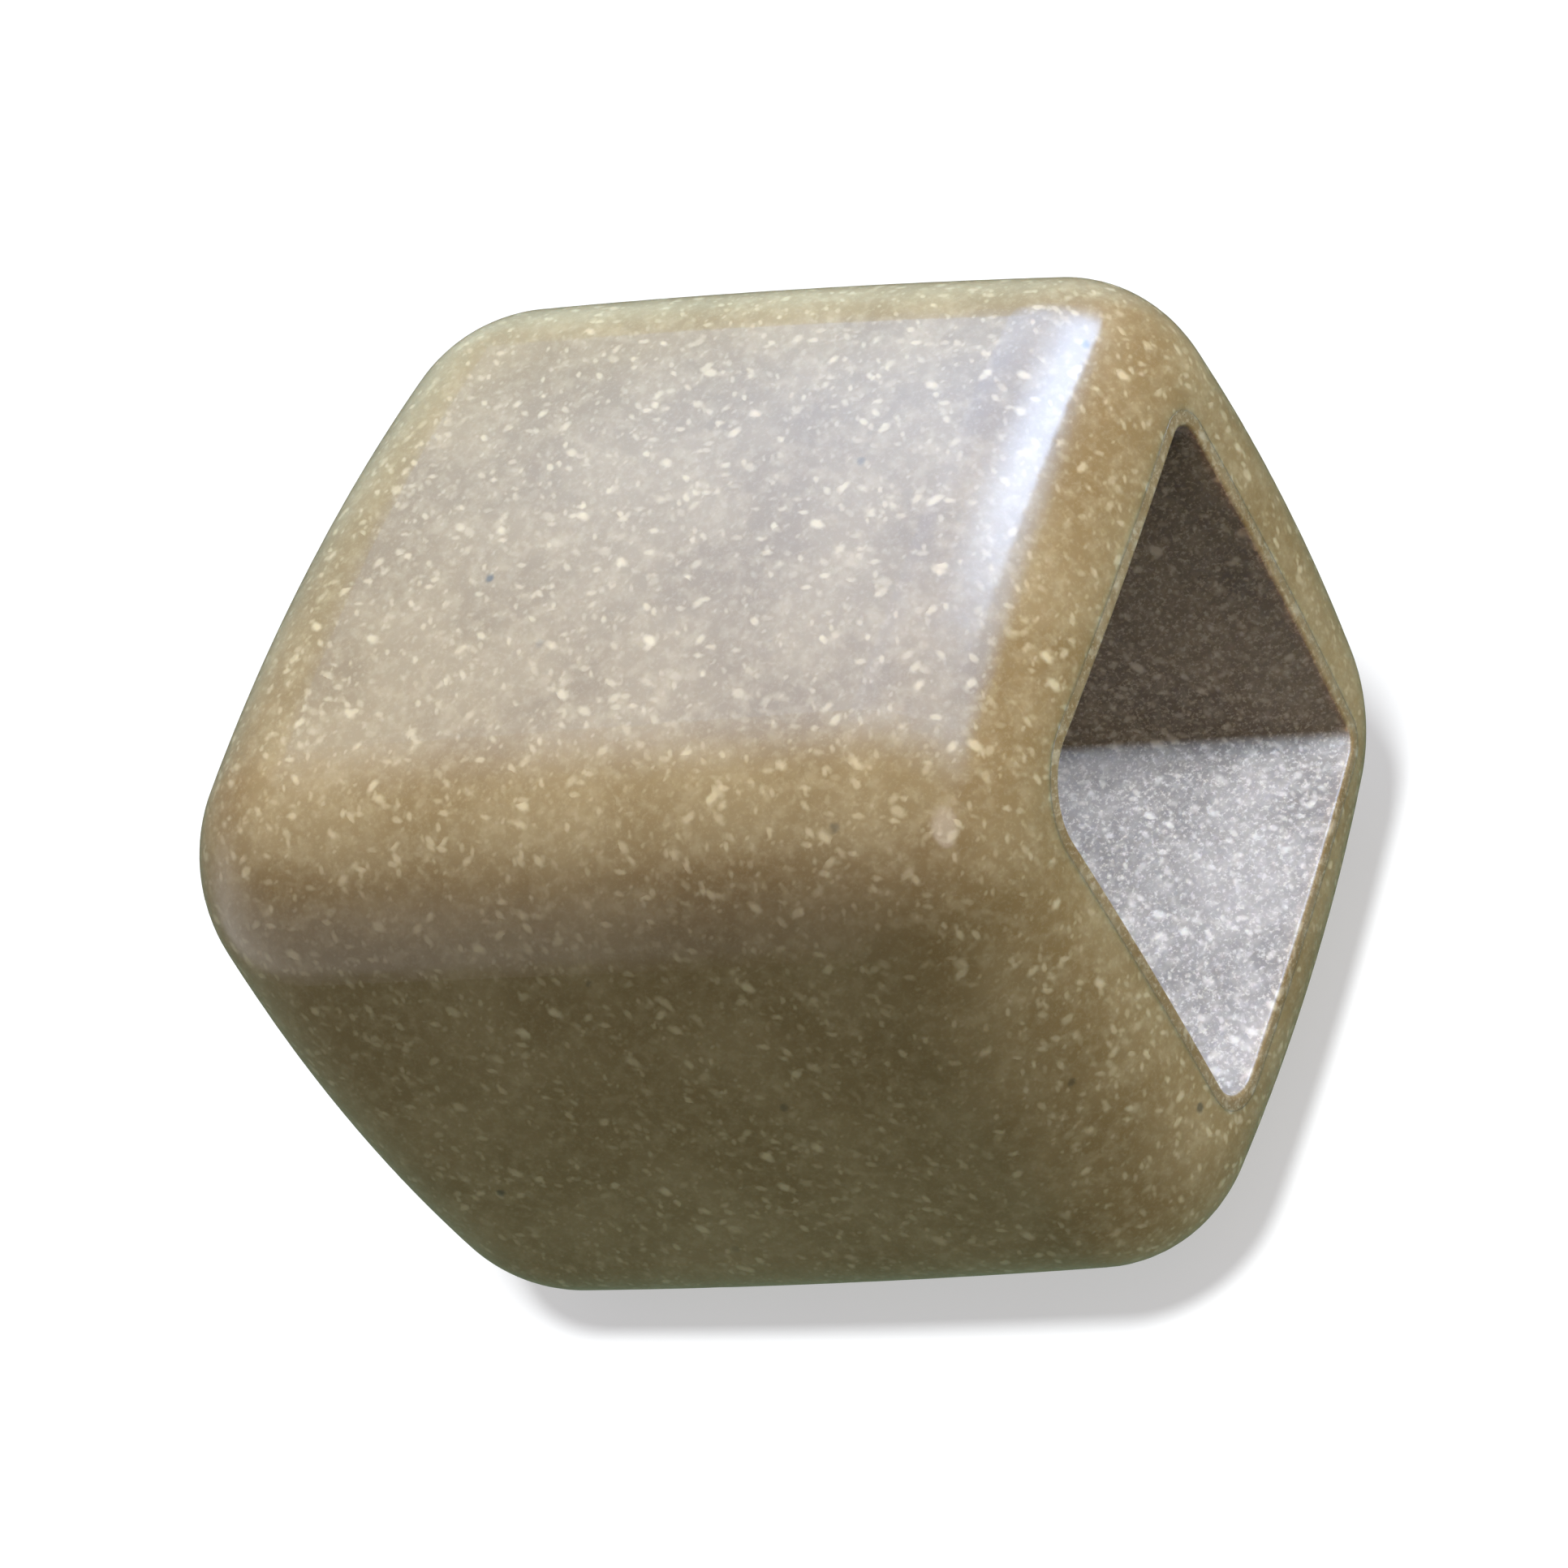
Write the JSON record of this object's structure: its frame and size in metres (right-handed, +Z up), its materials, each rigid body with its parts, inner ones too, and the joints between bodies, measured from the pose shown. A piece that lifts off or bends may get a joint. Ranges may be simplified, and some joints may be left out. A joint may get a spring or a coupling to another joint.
{
  "type": "rock tumbler barrel",
  "caption": "Open-mouthed, square-bored tumbling barrel in flake-filled resin, lined and bolted to a hub on a sealed ball-bearing spindle unit that turns it.",
  "frame": {"origin": "on the barrel's axis of rotation, at the bearing housing's mounting face", "axes": "+X along the axis of rotation from the mounting face towards the barrel's mouth, +Z up with the barrel on its side, +Y completes a right-handed set"},
  "size_m": [0.1564, 0.1146, 0.1052],
  "materials": {
    "flake_resin": "translucent amber-brown casting resin full of fine pale flakes, glossy",
    "flake_liner": "thin silver-grey flake-filled lining, satin gloss",
    "black_rubber": "matt moulded rubber",
    "gasket_rubber": "matt sheet rubber",
    "plate_steel": "brushed stainless plate",
    "turned_steel": "fine turned finish",
    "bearing_steel": "ground and polished",
    "shield_steel": "pressed sheet steel, satin",
    "spring_steel": "phosphated dark spring steel",
    "plated_fastener": "bright zinc plate",
    "machined_aluminium": "satin anodised, turned",
    "cage_polymer": "natural polyamide"
  },
  "bodies": {
    "housing": {"bearing_housing": "machined_aluminium", "front_bearing_outer_ring": "bearing_steel", "rear_bearing_outer_ring": "bearing_steel", "front_bearing_shields": "shield_steel", "rear_bearing_shields": "shield_steel", "outer_ring_spacer": "turned_steel", "bore_circlip": "spring_steel", "seal_case": "shield_steel", "seal_lip": "black_rubber", "seal_garter_spring": "spring_steel"},
    "barrel": {"barrel_body": "flake_resin", "wear_liner": "flake_liner", "floor_pad": "black_rubber", "clamp_plate": "plate_steel", "hub_bolts": "plated_fastener", "sealing_washers": "plated_fastener", "floor_gasket": "gasket_rubber", "hub_flange": "turned_steel", "hub_key": "turned_steel", "hub_screw": "plated_fastener", "hub_screw_washer": "plated_fastener", "spindle": "turned_steel", "flinger": "black_rubber", "front_bearing_inner_ring": "bearing_steel", "rear_bearing_inner_ring": "bearing_steel", "inner_ring_spacer": "turned_steel", "shaft_circlip": "spring_steel"},
    "front_cage": {"front_bearing_cage": "cage_polymer", "front_bearing_balls": "bearing_steel"},
    "rear_cage": {"rear_bearing_cage": "cage_polymer", "rear_bearing_balls": "bearing_steel"}
  },
  "joints": [
    {"name": "barrel_spin", "type": "hinge", "parent": "housing", "child": "barrel", "pos_m": [0, 0, 0], "axis": [1, 0, 0], "continuous": true},
    {"name": "front_cage_spin", "type": "hinge", "parent": "housing", "child": "front_cage", "pos_m": [0.016, 0, 0], "axis": [1, 0, 0], "continuous": true},
    {"name": "rear_cage_spin", "type": "hinge", "parent": "housing", "child": "rear_cage", "pos_m": [0.006, 0, 0], "axis": [1, 0, 0], "continuous": true}
  ],
  "couplings": [
    {"joint": "front_cage_spin", "follows": "barrel_spin", "ratio": 0.40078},
    {"joint": "rear_cage_spin", "follows": "barrel_spin", "ratio": 0.40078}
  ]
}
